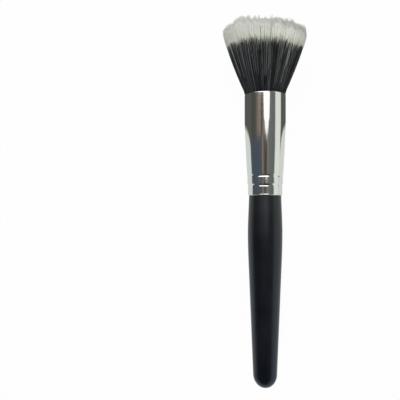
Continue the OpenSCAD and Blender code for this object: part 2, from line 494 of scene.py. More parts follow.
@dataclass(frozen=True)
class Fibre(Finish):
    """Hair or drawn synthetic fibre, one shade to each fibre.

    The fibre's own UV map carries its shade across and its length along, so that a bundle
    shows light and dark hairs side by side, and each hair changes from root to tip.

    Attributes:
        name: The material's name.
        shades: Colours from the darkest to the lightest fibre, with their places.
        root: Colour that tints the lower end.
        root_share: How much of that tint the root has.
        root_end: How far along the fibre the tint reaches.
        tip: Colour that tints the last stretch.
        tip_share: How much of that tint the tip has.
        roughness: Roughness of the fibre's skin.
    """

    TIP_START = 0.7

    name: str
    shades: Stops
    root: str
    root_share: float
    root_end: float
    tip: str
    tip_share: float
    roughness: float

    def inputs(self, tree: Tree) -> Inputs:
        """Gives each fibre its own shade, and tints its root and its tip.

        Args:
            tree: The material's tree.

        Returns:
            What the principled shader takes.
        """
        uv = add_node(tree, "SeparateXYZ", [add_node(tree, "UVMap", uv_map=Comb.UV_NAME)]).outputs
        step = add_node(tree, "Math", [uv["X"], Comb.SHADES], operation="MULTIPLY")
        number = add_node(tree, "Math", [step], operation="FLOOR")
        shade = add_node(tree, "Math", [number, Comb.SHADES - 1], operation="DIVIDE")
        colour = add_node(tree, "ValToRGB", [shade], self.shades)
        early = add_node(tree, "MapRange", [uv["Y"], 0.0, self.root_end, self.root_share, 0.0])
        late = add_node(tree, "MapRange", [uv["Y"], self.TIP_START, 1.0, 0.0, self.tip_share])
        rooted = add_node(tree, "Mix", [early, colour, self.root], data_type="RGBA")
        tipped = add_node(tree, "Mix", [late, rooted, self.tip], data_type="RGBA")
        return {"Base Color": tipped, "Roughness": self.roughness}


@dataclass(frozen=True)
class HairMass(Finish):
    """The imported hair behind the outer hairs, too deep to show as single hairs.

    It gives a fine streaky ground of the same colours as the hairs before it.

    Attributes:
        name: The material's name.
        dark: Colour in the shade between the hairs.
        light: Colour of the hairs that catch light.
        roughness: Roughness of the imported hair.
        streak_mm: Width of a streak.
        streak_scale: Scale of the streaks' noise along each axis, which draws it out along the brush.
        streak_depth_mm: Depth of the furrow between two streaks.
        streak_strength: How much of that depth shows.
    """

    name: str
    dark: str
    light: str
    roughness: float = 0.7
    streak_mm: float = 0.3
    streak_scale: tuple[float, float, float] = (1.0, 0.05, 1.0)
    streak_depth_mm: float = 0.2
    streak_strength: float = 0.5

    def inputs(self, tree: Tree) -> Inputs:
        """Lays the streaks along the brush.

        Args:
            tree: The material's tree.

        Returns:
            What the principled shader takes.
        """
        streaks = add_grain(tree, self.streak_mm, detail=2.0, scale=self.streak_scale)
        colour = add_node(tree, "ValToRGB", [streaks], [(0.35, self.dark), (0.65, self.light)])
        bump = add_node(tree, "Bump", {"Height": streaks, "Strength": self.streak_strength,
                                       "Distance": self.streak_depth_mm * MM})
        return {"Base Color": colour, "Roughness": self.roughness, "Normal": bump}


@dataclass(frozen=True)
class CastResin(Finish):
    """Resin or glue that was poured and set, amber and a little cloudy.

    Attributes:
        name: The material's name.
        deep: Colour of the clear places.
        cloudy: Colour of the cloudy places.
        roughness: Roughness of the set skin.
        cloud_mm: Size of the clouds.
    """

    name: str
    deep: str
    cloudy: str
    roughness: float
    cloud_mm: float = 3.0

    def inputs(self, tree: Tree) -> Inputs:
        """Clouds the resin from its deep to its cloudy colour.

        Args:
            tree: The material's tree.

        Returns:
            What the principled shader takes.
        """
        clouds = add_grain(tree, self.cloud_mm, detail=4.0)
        colour = add_node(tree, "ValToRGB", [clouds], [(0.35, self.deep), (0.7, self.cloudy)])
        return {"Base Color": colour, "Roughness": self.roughness}


def finish_piece(piece: bpy.types.Object, replaced: str) -> None:
    """Makes a piece ride with the brush, hides the solid that it stands for, and logs its triangles.

    Args:
        piece: The piece.
        replaced: The solid that the piece stands for.
    """
    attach(piece, BODY)
    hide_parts(replaced)
    triangles = sum(len(face.vertices) - 2 for face in piece.data.polygons)
    LOG.info("%s: %d triangles", piece.name, triangles)


def to_mesh(bm: bmesh.types.BMesh, name: str) -> bpy.types.Mesh:
    """Turns a finished bmesh to a mesh.

    Args:
        bm: The bmesh, which is freed.
        name: The mesh's name.

    Returns:
        The mesh.
    """
    mesh = bpy.data.meshes.new(name)
    bm.to_mesh(mesh)
    bm.free()
    return mesh


def new_object(name: str, data: bpy.types.ID) -> bpy.types.Object:
    """Links an object for a finished mesh, camera or lamp.

    Args:
        name: The object's name.
        data: What it shows.

    Returns:
        The object, at the origin.
    """
    thing = bpy.data.objects.new(name, data)
    bpy.context.scene.collection.objects.link(thing)
    return thing


class Lathe:
    """Turns outlines about the brush's axis."""

    STEPS = 128
    MERGE_MM = 0.0005
    SHARP_DEGREES = 40.0

    def __init__(self, axis: Axis) -> None:
        """Keeps the lie of the brush."""
        self.axis = axis

    def turn(self, name: str, outline: Profile, finish: Finish, steps: int = STEPS) -> bpy.types.Object:
        """Spins an outline into a closed piece, where it lies.

        Args:
            name: The piece's name.
            outline: Radius and height of each point, in millimetres. A solid's outline starts and
                ends on the axis, and a tube's goes all the way round its wall.
            finish: The piece's finish.
            steps: Number of steps round.

        Returns:
            The piece.
        """
        bm = bmesh.new()
        points = [bm.verts.new((radius, 0.0, height)) for radius, height in outline]
        solid = outline[0][0] == 0.0
        ends = points[1:] if solid else points[1:] + points[:1]
        edges = [bm.edges.new(pair) for pair in zip(points, ends)]
        bmesh.ops.spin(bm, geom=points + edges, cent=(0.0, 0.0, 0.0), axis=(0.0, 0.0, 1.0),
                       angle=math.tau, steps=steps, use_merge=True, use_duplicate=False)
        bmesh.ops.remove_doubles(bm, verts=bm.verts, dist=self.MERGE_MM)
        bmesh.ops.recalc_face_normals(bm, faces=bm.faces)
        bmesh.ops.transform(bm, matrix=self.axis.lie, verts=bm.verts)
        for face in bm.faces:
            face.smooth = True
        for edge in bm.edges:
            edge.smooth = edge.calc_face_angle(0.0) < math.radians(self.SHARP_DEGREES)
        mesh = to_mesh(bm, name)
        mesh.materials.append(finish.material())
        return new_object(name, mesh)


class Ferrule:
    """The drawn tube with its two crimps, and the glue and resin inside it."""

    CRIMP_STEPS = 14
    CONE_STEPS = 26
    BARREL_STEPS = 12
    LIP_STEPS = 6
    SHOULDER = 0.06

    def __init__(self, sizes: FerruleSizes) -> None:
        """Works out the heights from the sizes.

        Args:
            sizes: The tube's sizes.
        """
        self.sizes = sizes
        self.lower = HANDLE.length + sizes.lower_crimp
        self.upper = HANDLE.length + sizes.upper_crimp
        self.cone = self.upper + sizes.crimp_w / 2
        self.cone_r = sizes.tail_d / 2 + sizes.band_step + sizes.cone_step

    def dents(self, height: float) -> float:
        """How deep the crimps dent the wall.

        Args:
            height: Where, in millimetres.

        Returns:
            The depth there, in millimetres.
        """
        s = self.sizes
        reach = [abs(height - middle) / s.crimp_w for middle in (self.lower, self.upper)]
        return sum(s.crimp_depth * (1 - 4 * x**2) for x in reach if x < 0.5)

    def plain_radius(self, height: float) -> float:
        """Outside radius without the crimps.

        Args:
            height: Where, in millimetres.

        Returns:
            The radius there, in millimetres.
        """
        s = self.sizes
        if height >= CREASE:
            return s.barrel_d / 2
        if height > self.cone:
            span = CREASE - self.cone
            return float(hermite((height - self.cone) / span, self.cone_r, s.barrel_d / 2,
                                 s.cone_slope, s.crease_slope, span))
        opened = s.flare * smooth(1 - (height - HANDLE.length - s.lip_r) / s.flare_len)
        return float(s.tail_d / 2 + opened + s.band_step * smooth((height - self.lower) / s.crimp_w + 0.5)
                     + s.cone_step * smooth((height - self.upper) / s.crimp_w + 0.5))

    def outer(self, height: float) -> float:
        """Outside radius at a height, in millimetres."""
        return self.plain_radius(height) - self.dents(height)

    def bore(self, height: float) -> float:
        """Inside radius at a height, in millimetres."""
        return self.outer(height) - self.sizes.wall

    def lip(self, radius: float, height: float, way: int) -> Profile:
        """A rounded edge of the tube.

        Args:
            radius: Outside radius of the tube at the edge.
            height: Height of the edge.
            way: 1 at the mouth and -1 at the tail.

        Returns:
            Its points, in the order of the outside from tail to mouth.
        """
        r = self.sizes.lip_r
        turns = [math.pi / 2 * i / self.LIP_STEPS for i in range(self.LIP_STEPS + 1)]
        if way > 0:
            return [(radius - r + r * math.cos(t), height - r + r * math.sin(t)) for t in turns]
        return [(radius - r + r * math.sin(t), height + r - r * math.cos(t)) for t in turns]

    def crimp_heights(self, middle: float) -> list[float]:
        """Heights at which one crimp and the shoulders beside it are drawn.

        Args:
            middle: Height of the crimp's middle, in millimetres.

        Returns:
            The heights, from the tail's side up.
        """
        n, w = self.CRIMP_STEPS, self.sizes.crimp_w
        inside = [middle + w * (i / n - 0.5) for i in range(n + 1)]
        return [inside[0] - self.SHOULDER] + inside + [inside[-1] + self.SHOULDER]

    def outline(self) -> Profile:
        """The wall's outline: up the outside and down the inside.

        Returns:
            Radius and height of each point, in millimetres.
        """
        s = self.sizes
        span = CREASE - self.cone
        tail = HANDLE.length + s.lip_r
        straight = MOUTH - s.lip_r - CREASE
        heights = [tail + s.flare_len * i / self.LIP_STEPS for i in range(1, self.LIP_STEPS + 1)]
        heights += [tail + s.flare_len + self.SHOULDER, (tail + self.lower) / 2]
        heights += self.crimp_heights(self.lower) + [(self.lower + self.upper) / 2]
        heights += self.crimp_heights(self.upper)
        heights += [self.cone + span * i / self.CONE_STEPS for i in range(1, self.CONE_STEPS + 1)]
        heights += [CREASE + straight * i / self.BARREL_STEPS for i in range(1, self.BARREL_STEPS)]
        heights += [MOUTH - s.lip_r - self.SHOULDER]
        outside = self.lip(s.tail_d / 2 + s.flare, HANDLE.length, -1)
        outside += [(self.outer(h), h) for h in heights]
        outside += self.lip(s.barrel_d / 2, MOUTH, 1)
        return outside + [(self.bore(h), h) for h in (MOUTH, *reversed(heights), HANDLE.length)]

    def build(self, lathe: Lathe) -> None:
        """Builds the tube, and dresses the glue and the resin plug.

        Args:
            lathe: Turns the outline.
        """
        finish_piece(lathe.turn("ferrule_tube", self.outline(), PolishedAluminium()), "ferrule")
        glue = CastResin("set_wood_glue", "#a8905a", "#cdbb8c", 0.55)
        resin = CastResin("amber_epoxy_resin", "#8a5a20", "#c08a44", 0.25)
        for node, slot, finish in (("tenon_glue", Slot.GLUE, glue), ("hair_glue", Slot.RESIN, resin)):
            solid = frame["nodes"][node]
            solid.data.materials.clear()
            solid.data.materials.append(finish.material())
            LOG.info("%s: keeps its solid", node)


class Handle:
    """The turned wooden handle with its tenon."""

    BUTT_STEPS = 24
    BELLY_STEPS = 22
    NECK_STEPS = 20

    def __init__(self, sizes: HandleSizes, ferrule: Ferrule) -> None:
        """Keeps the sizes and the ferrule that the tenon stands in."""
        self.sizes = sizes
        self.ferrule = ferrule

    def outline(self) -> Profile:
        """The outline from the butt to the end of the tenon.

        Returns:
            Radius and height of each point, in millimetres.
        """
        s = self.sizes
        belly = s.length - s.belly_drop
        taper = belly - s.taper_drop
        taper_slope = (s.taper_d - s.butt_d) / 2 / (taper - s.butt_len)
        neck = self.ferrule.bore(s.length) - self.ferrule.sizes.fit_gap
        turns = [math.pi / 2 * i / self.BUTT_STEPS for i in range(1, self.BUTT_STEPS + 1)]
        points = [(0.0, 0.0)]
        points += [(s.butt_d / 2 * math.sin(t), s.butt_len * (1 - math.cos(t))) for t in turns]
        to_belly = (s.taper_d / 2, s.belly_d / 2, taper_slope, 0.0, s.taper_drop)
        to_neck = (s.belly_d / 2, neck, 0.0, s.neck_slope, s.belly_drop)
        for foot, curve, first, steps in ((taper, to_belly, 0, self.BELLY_STEPS),
                                          (belly, to_neck, 1, self.NECK_STEPS)):
            for t in (i / steps for i in range(first, steps + 1)):
                points.append((float(hermite(t, *curve)), foot + curve[-1] * t))
        for middle in (self.ferrule.lower, self.ferrule.upper):
            points += [(neck - self.ferrule.dents(h), h) for h in self.ferrule.crimp_heights(middle)]
        end = s.length + s.tenon_len
        points += [(neck, end - s.tenon_chamfer), (neck - s.tenon_chamfer, end), (0.0, end)]
        return points

    def build(self, lathe: Lathe) -> None:
        """Builds the handle with a lathe."""
        finish_piece(lathe.turn("handle_turning", self.outline(), SatinLacquer()), "handle")


@dataclass(frozen=True)
class Course:
    """The way that many fibres take, in arrays with one row for each fibre.

    Attributes:
        radius: Distance from the axis at each ring, in millimetres.
        angle: Angle round the axis at each ring, from the top, in radians.
        height: Height of each ring on the upright brush, in millimetres.
        thick: Radius of the fibre at each ring, in millimetres.
        shade: Shade of each fibre, from 0 to 1.
    """

    radius: np.ndarray
    angle: np.ndarray
    height: np.ndarray
    thick: np.ndarray
    shade: np.ndarray


class Comb:
    """Draws many fine tapered fibres as one piece."""

    UV_NAME = "fibre"
    SHADES = 64
    UV_WIDTH = 0.8
    SIDES = 3

    def __init__(self, axis: Axis) -> None:
        """Keeps the lie of the brush."""
        self.axis = axis

    def one_fibre(self, rings: int) -> tuple[bpy.types.Mesh, np.ndarray, np.ndarray]:
        """Draws one straight fibre with its UV map.

        Args:
            rings: Number of rings of points along it.

        Returns:
            Its mesh, and for each point its ring and its angle round the fibre.
        """
        bm = bmesh.new()
        bmesh.ops.create_cone(bm, cap_ends=True, cap_tris=False, segments=self.SIDES,
                              radius1=1.0, radius2=1.0, depth=1.0)
        sides = [edge for edge in bm.edges if abs(edge.verts[0].co.z - edge.verts[1].co.z) > 0.5]
        bmesh.ops.subdivide_edges(bm, edges=sides, cuts=rings - 2)
        bm.verts.index_update()
        layer = bm.loops.layers.uv.new(self.UV_NAME)
        turn = [math.atan2(v.co.y, v.co.x) % math.tau for v in bm.verts]
        for face in bm.faces:
            middle = face.calc_center_median()
            late = math.atan2(middle.y, middle.x) % math.tau > math.pi
            for loop in face.loops:
                share = turn[loop.vert.index] / math.tau
                share = 1.0 if late and share < 0.1 else share
                loop[layer].uv = (share * self.UV_WIDTH / self.SHADES, loop.vert.co.z + 0.5)
        ring = np.array([round((v.co.z + 0.5) * (rings - 1)) for v in bm.verts])
        return to_mesh(bm, "one_fibre"), ring, np.array(turn)

    def draw(self, name: str, course: Course, finish: Finish) -> bpy.types.Object:
        """Draws all the fibres of a course.

        Args:
            name: The piece's name.
            course: The way that the fibres take.
            finish: Their finish.

        Returns:
            The piece.
        """
        count, rings = course.height.shape
        fibre, ring, turn = self.one_fibre(rings)
        bm = bmesh.new()
        for _ in range(count):
            bm.from_mesh(fibre)
        mesh = to_mesh(bm, name)
        level = np.zeros_like(course.angle)
        out = np.stack([np.sin(course.angle), -np.cos(course.angle), level], axis=-1)
        side = np.stack([np.cos(course.angle), np.sin(course.angle), level], axis=-1)
        centre = out * course.radius[..., None]
        centre[..., 2] = course.height
        round_fibre = out[:, ring] * np.cos(turn)[:, None] + side[:, ring] * np.sin(turn)[:, None]
        points = centre[:, ring] + round_fibre * course.thick[:, ring, None]
        mesh.vertices.foreach_set("co", self.axis.place(points).astype(np.float32).ravel())
        steps = np.floor(np.clip(course.shade, 0.0, 0.999) * self.SHADES) / self.SHADES
        layer = mesh.uv_layers[self.UV_NAME].uv
        uv = np.zeros(len(layer) * 2, np.float32)
        layer.foreach_get("vector", uv)
        uv = uv.reshape(count, -1, 2)
        uv[..., 0] += steps[:, None]
        layer.foreach_set("vector", uv.ravel())
        for face in mesh.polygons:
            face.use_smooth = True
        mesh.update()
        mesh.materials.append(finish.material())
        return new_object(name, mesh)


@dataclass(frozen=True)
class Strand:
    """A small bunch of long white fibres that lies on the black hair.

    Attributes:
        angle: Where it stands round the head, in degrees.
        shade: How light its fibres are, from 0 to 1.
        fibres: How many fibres it has.
    """

    angle: float
    shade: float
    fibres: int


@dataclass(frozen=True)
class Tuft:
    """A place on the rim of the head where the cut stands higher or lower than the rest.

    Attributes:
        angle: Where it is round the brush, in degrees from the top towards +X.
        lift: How much higher the tips stand there, in millimetres.
        spread: Half width of the place, in degrees.
    """

    angle: float
    lift: float
    spread: float

    def raised(self, angle: np.ndarray) -> np.ndarray:
        """Height that it adds at each angle, in millimetres."""
        off = (np.degrees(angle) - self.angle + 180.0) % 360.0 - 180.0
        return self.lift * np.exp(-((off / self.spread) ** 2))


@dataclass(frozen=True)
class Layer:
    """How the fibres of one layer of the head are drawn.

    Attributes:
        seed: Seed of the layer's random numbers.
        count: Number of its fibres, or of its bunches of fibres.
        rings: Number of rings of points along a fibre.
        thick: Mean radius of a fibre at its root, in millimetres.
        taper: Share of that radius that is gone at the tip. Below 0, the fibre widens.
        power: How late along the fibre it goes, as a power of the share of the length.
        uneven: Radius of the thinnest and the thickest fibre, as shares of the mean.
    """

    seed: int
    count: int
    rings: int
    thick: float
    taper: float
    power: int
    uneven: tuple[float, float]

    def share(self) -> np.ndarray:
        """Share of a fibre's length at each ring, as one row."""
        return np.linspace(0.0, 1.0, self.rings)[None, :]

    def begin(self) -> tuple[np.random.Generator, int, np.ndarray]:
        """The layer's random numbers, its count, and the share of the length at each ring."""
        return np.random.default_rng(self.seed), self.count, self.share()

    def heights(self, start: float, tip: np.ndarray) -> np.ndarray:
        """Height of each fibre at each ring, between its start and its tip."""
        return start + (tip[:, None] - start) * self.share()

    def radii(self, rng: np.random.Generator, count: int) -> np.ndarray:
        """Draws the radius of each fibre at each ring.

        Args:
            rng: The layer's random numbers.
            count: Number of fibres.

        Returns:
            The radii, in millimetres.
        """
        along = self.thick * (1.0 - self.taper * self.share()**self.power)
        return along * rng.uniform(*self.uneven, count)[:, None]


def find_bunch(angle: np.ndarray, count: int) -> tuple[np.ndarray, np.ndarray]:
    """Finds the bunch that each fibre belongs to.

    Args:
        angle: Angle of each fibre at its root.
        count: Number of bunches round the head.

    Returns:
        The number of its bunch, and its place across the bunch from -0.5 to 0.5.
    """
    across = angle / math.tau * count
    return np.floor(across).astype(int) % count, across % 1.0 - 0.5


class Head:
    """The head: black hair, and longer white fibres among and above it.

    Lengths are in millimetres. Angles round the head are in radians, but in degrees in tables.
    """

    DARK = Layer(seed=7, count=4300, rings=8, thick=0.085, taper=0.85, power=5, uneven=(0.7, 1.25))
    STRAY = Layer(seed=8, count=420, rings=11, thick=0.05, taper=-0.25, power=2, uneven=(0.7, 1.2))
    RIM = Layer(seed=9, count=6000, rings=6, thick=0.1, taper=0.7, power=5, uneven=(0.75, 1.2))
    DOME = Layer(seed=10, count=13500, rings=3, thick=0.12, taper=0.6, power=4, uneven=(0.75, 1.2))
    # Locks and bunches that stand round the head.
    LOCKS = 62
    DARK_BUNCHES = 170
    RIM_BUNCHES = 170
    # Each long hair starts inside the mouth, and sways aside more and more towards its tip.
    ROOT_DEPTH = 1.2
    SWAY = 0.022
    SWAY_BEND = 1.5
    # A lock stands higher or lower than the others, droops at its edges and gathers towards its tip.
    LOCK_LIFT = 0.45
    LOCK_DROOP = 0.7
    LOCK_PULL = 0.25
    LOCK_PULL_BEND = 2
    # The black tips stand lower on one side. Mean and spread of their cut follow, and then the usual
    # and the greatest rise of single hairs above it.
    DARK_LEAN = 0.3
    DARK_CUT = (0.15, 0.8)
    DARK_RISE = (0.6, 1.8)
    # The black hairs lie in a layer, more of them near its outside, and packed closer at the mouth.
    DARK_COVER = 0.1
    DARK_DEPTH = 1.5
    DARK_CROWDING = 1.3
    ROOT_PACKING = 0.35
    # A black hair's shade comes from its lock, its bunch and itself, and some hairs are grey. The power
    # makes most bunches dark.
    LOCK_SHADE = 0.1
    BUNCH_SHADE = 0.42
    DARK_BUNCH_POWER = 2
    OWN_SHADE = 0.32
    GREY_SHARE = 0.1
    GREY_SHADE = (0.3, 0.7)
    # At most so many white fibres stand in a bunch, and stray a little from it in angle, depth, height
    # and shade. A bright strand sways less than the others.
    BUNCH_FIBRES = 2
    FIBRE_STRAY = 0.006
    FIBRE_DEPTH = 0.1
    STRAY_CUT = 0.8
    BRIGHT_CALM = 0.3
    STRAY_SHADE = (0.18, 0.2)
    STRAY_OWN_SHADE = 0.1
    # They come out of the black hair from inside the mouth on, the bright strands early, stay in sight
    # for a stretch and dive under it again. Their tips stand above the black ones. In sight, a bunch
    # lies at most so deep among the black hairs, and a bright strand lies on them.
    STRAY_START = 6.0
    BRIGHT_REACH = 11.0
    STRAY_SPAN = (6.0, 42.0)
    STRAY_REACH = 4.0
    STRAY_COVER = 0.06
    STRAY_DEPTH = 0.4
    BRIGHT_LIFT = 0.1
    DIVE = 0.8
    DIVE_LEN = 7.0
    # The bunches of the rim differ in height: the usual and the greatest rise, and a drop of them all.
    # Their fibres lie in a thin layer, most of them at its outside, and are cut unevenly.
    TIP_LIFT = (0.5, 1.5, 0.42)
    RIM_DROP = 0.62
    RIM_DEPTH = 0.1
    RIM_CROWDING = 3.0
    RIM_CUT = 0.2
    # The rim's fibres start tucked in under the black tips, and come out over a stretch below them.
    RIM_START = 6.5
    RIM_TUCK = 0.085
    RIM_SHOWS = (4.5, 5.5)
    # They gather to locks that stand aside of the black ones, and at their tips to their bunches.
    RIM_TURN = 0.04
    RIM_SWAY = 0.015
    RIM_LOCK_PULL = 0.06
    RIM_PULL = 0.7
    RIM_PULL_BEND = 8
    # Their mean shade, how much locks and fibres differ from it, and how much darker a high bunch is.
    RIM_SHADE = 0.5
    RIM_LOCK_SHADE = 0.04
    RIM_OWN_SHADE = 0.07
    RIM_HIGH_SHADE = 0.15
    # The top's fibres have a length, end a little below the rim's, and fill this share of the radius.
    # The rim's high and low places fade out towards the middle, from a share of the radius on.
    DOME_LEN = 6.0
    DOME_DROP = 0.35
    DOME_SHARE = 0.985
    DOME_EDGE = (0.4, 0.5)
    DOME_CUT = 0.25
    DOME_SWAY = 0.012
    DOME_SHADE = (0.5, 0.22)
    # Fibres that point down more than this share of straight down may meet the table.
    UNDERSIDE = 0.2
    BRIGHT_STRANDS = tuple(Strand(*row) for row in (
        (35.5, 0.8, 2), (33.0, 0.75, 2), (43.0, 0.6, 1), (49.0, 0.3, 1), (22.0, 0.5, 1), (18.5, 0.6, 1),
        (15.5, 0.6, 1), (-0.5, 0.5, 1), (-4.5, 0.6, 1), (-8.5, 0.3, 1), (-21.5, 0.45, 1), (-25.0, 0.4, 1),
        (-39.0, 0.25, 1), (-47.5, 0.4, 1), (-58.0, 0.5, 1), (-71.0, 0.6, 2), (-105.0, 0.6, 2),
        (110.0, 0.7, 2), (132.0, 0.5, 1), (158.0, 0.7, 2), (-166.0, 0.6, 1), (-140.0, 0.5, 1)))
    DARK_TUFTS = (Tuft(-28, 0.35, 10), Tuft(2, -0.2, 18), Tuft(38, -1.1, 13), Tuft(66, -0.5, 16))
    TUFTS = (Tuft(-87, 0.9, 15), Tuft(-56, 0.9, 20), Tuft(-54, -0.9, 5), Tuft(-42, 1.6, 10),
             Tuft(-1, -0.3, 4), Tuft(23, -0.7, 5), Tuft(41, -1.0, 15), Tuft(84, -2.5, 22),
             Tuft(-150, 0.4, 30), Tuft(160, -0.4, 30))
    MASS_STEPS = 96
    SIDE_POINTS = 16
    DOME_POINTS = 6

    def __init__(self, sizes: HeadSizes, ferrule: Ferrule, lathe: Lathe, comb: Comb) -> None:
        """Keeps the sizes and the tools, and finds the table that the head lies on.

        Args:
            sizes: The head's sizes.
            ferrule: The tube that holds the hair.
            lathe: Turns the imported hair.
            comb: Draws the single hairs.
        """
        self.sizes = sizes
        self.mouth_r = ferrule.bore(MOUTH) - sizes.hair_gap
        self.lathe = lathe
        self.comb = comb
        self.shoulder = WIDE + sizes.shoulder_h
        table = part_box("white_crown")[0].z
        whole = np.array(comb.axis.lie)
        self.table_slope = whole[2, 2] / -whole[2, 1]
        self.table_r = (whole[2, 3] - table) / -whole[2, 1]

    def bundle(self, height: np.ndarray) -> np.ndarray:
        """Outside radius of the bundle of hair.

        Args:
            height: Heights on the upright brush.

        Returns:
            The radius at each of them.
        """
        s = self.sizes
        t = (height - MOUTH) / s.flare_len
        flare = hermite(t, self.mouth_r, s.head_d / 2, s.mouth_slope, s.wide_slope, s.flare_len)
        return np.where(height <= MOUTH, self.mouth_r, np.where(height >= WIDE, s.head_d / 2, flare))

    def top(self, radius: np.ndarray) -> np.ndarray:
        """Height of the top of the crown, before it is made ragged.

        Args:
            radius: Distances from the axis.

        Returns:
            The height at each of them.
        """
        s = self.sizes
        flat = s.head_d / 2 - s.shoulder_w
        past = np.clip((radius - flat) / s.shoulder_w, 0.0, 1.0)
        shoulder = WIDE + s.shoulder_h * np.sqrt(1 - past**2)
        dome = self.shoulder + s.dome_h * (1 - (radius / flat) ** 2)
        return np.where(radius > flat, shoulder, dome)

    def uneven(self, angle: np.ndarray) -> np.ndarray:
        """How far the tufts raise the white tips at each angle."""
        return sum(tuft.raised(angle) for tuft in self.TUFTS)

    def dark_top(self, angle: np.ndarray) -> np.ndarray:
        """Mean height of the black hairs' tips at each angle."""
        return DARK_TOP - self.DARK_LEAN * np.sin(angle) + sum(tuft.raised(angle) for tuft in self.DARK_TUFTS)

    def pressed(self, course: Course) -> Course:
        """Bends up the fibres that would go through the table.

        Args:
            course: The way of the fibres.

        Returns:
            The same, with no point below the table.
        """
        down = -np.cos(course.angle)
        room = (self.table_r + self.table_slope * course.height - course.thick) / np.maximum(down, 1e-3)
        radius = np.where(down > self.UNDERSIDE, np.minimum(course.radius, room), course.radius)
        return replace(course, radius=radius)

    def dark_course(self) -> Course:
        """The way of the black hairs of the outer layer.

        Returns:
            Their course, before they are pressed up by the table.
        """
        rng, n, share = self.DARK.begin()
        root = rng.uniform(0.0, math.tau, n)
        lock, across = find_bunch(root, self.LOCKS)
        lift = rng.normal(0.0, self.LOCK_LIFT, self.LOCKS)[lock]
        lock_shade = rng.uniform(0.0, 1.0, self.LOCKS)[lock]
        deep = rng.uniform(0.0, 1.0, n) ** self.DARK_CROWDING * self.DARK_DEPTH
        usual, greatest = self.DARK_RISE
        ragged = rng.normal(*self.DARK_CUT, n) + np.minimum(rng.exponential(usual, n), greatest)
        tip = self.dark_top(root) + lift - self.LOCK_DROOP * np.abs(across) + ragged
        height = self.DARK.heights(MOUTH - self.ROOT_DEPTH, tip)
        sway = rng.normal(0.0, self.SWAY, n)[:, None] * share**self.SWAY_BEND
        gather = -across[:, None] * math.tau / self.LOCKS * self.LOCK_PULL * share**self.LOCK_PULL_BEND
        settled = deep[:, None] * (self.ROOT_PACKING + (1.0 - self.ROOT_PACKING) * share)
        radius = self.bundle(height) - self.DARK_COVER - settled
        thick = self.DARK.radii(rng, n)
        grey = (rng.uniform(0.0, 1.0, n) > 1.0 - self.GREY_SHARE) * rng.uniform(*self.GREY_SHADE, n)
        bunch, _ = find_bunch(root, self.DARK_BUNCHES)
        bunch_shade = rng.uniform(0.0, 1.0, self.DARK_BUNCHES)[bunch] ** self.DARK_BUNCH_POWER
        shade = (self.LOCK_SHADE * lock_shade + self.BUNCH_SHADE * bunch_shade
                 + self.OWN_SHADE * rng.uniform(0.0, 1.0, n) + grey)
        return Course(radius, root[:, None] + sway + gather, height, thick, shade)

    def stray_course(self) -> Course:
        """The way of the white fibres that show among the black hairs, in small bunches.

        Each bunch lies under the black hairs at its roots, comes out between them further up, and
        mostly goes under them again. The bright strands come out early and stay out.

        Returns:
            Their course, before they are pressed up by the table.
        """
        rng, count, share = self.STRAY.begin()
        bright = np.arange(count) < len(self.BRIGHT_STRANDS)
        place = rng.uniform(0.0, math.tau, count)
        fibres = rng.integers(1, self.BUNCH_FIBRES + 1, count)
        mean_shade = rng.normal(*self.STRAY_SHADE, count)
        place[bright] = np.radians([strand.angle for strand in self.BRIGHT_STRANDS])
        fibres[bright] = [strand.fibres for strand in self.BRIGHT_STRANDS]
        mean_shade[bright] = [strand.shade for strand in self.BRIGHT_STRANDS]
        bunch = np.repeat(np.arange(count), fibres)
        n = len(bunch)
        root = place[bunch] + rng.normal(0.0, self.FIBRE_STRAY, n)
        sway = (np.where(bright, self.BRIGHT_CALM, 1.0) * rng.normal(0.0, self.SWAY, count))[bunch]
        sway = sway + rng.normal(0.0, self.FIBRE_STRAY, n)
        top = DARK_TOP + self.STRAY_REACH
        reach = np.where(bright, self.BRIGHT_REACH, top - MOUTH)
        out = MOUTH - self.STRAY_START + reach * rng.uniform(0.0, 1.0, count)
        back = np.where(bright, WIDE, out + rng.uniform(*self.STRAY_SPAN, count))
        deep = np.where(bright, -self.BRIGHT_LIFT, rng.uniform(0.0, self.STRAY_DEPTH, count))[bunch]
        deep = deep + rng.uniform(0.0, self.FIBRE_DEPTH, n)
        height = self.STRAY.heights(MOUTH - self.ROOT_DEPTH, top + rng.normal(0.0, self.STRAY_CUT, n))
        angle = root[:, None] + sway[:, None] * share**self.SWAY_BEND
        under = (1.0 - smooth((height - out[bunch, None]) / self.DIVE_LEN)
                 + smooth((height - back[bunch, None]) / self.DIVE_LEN))
        radius = self.bundle(height) - self.STRAY_COVER - deep[:, None] - self.DIVE * under
        thick = self.STRAY.radii(rng, n)
        shade = np.clip(mean_shade[bunch] + rng.normal(0.0, self.STRAY_OWN_SHADE, n), 0.0, 1.0)
        return Course(radius, angle, height, thick, shade)

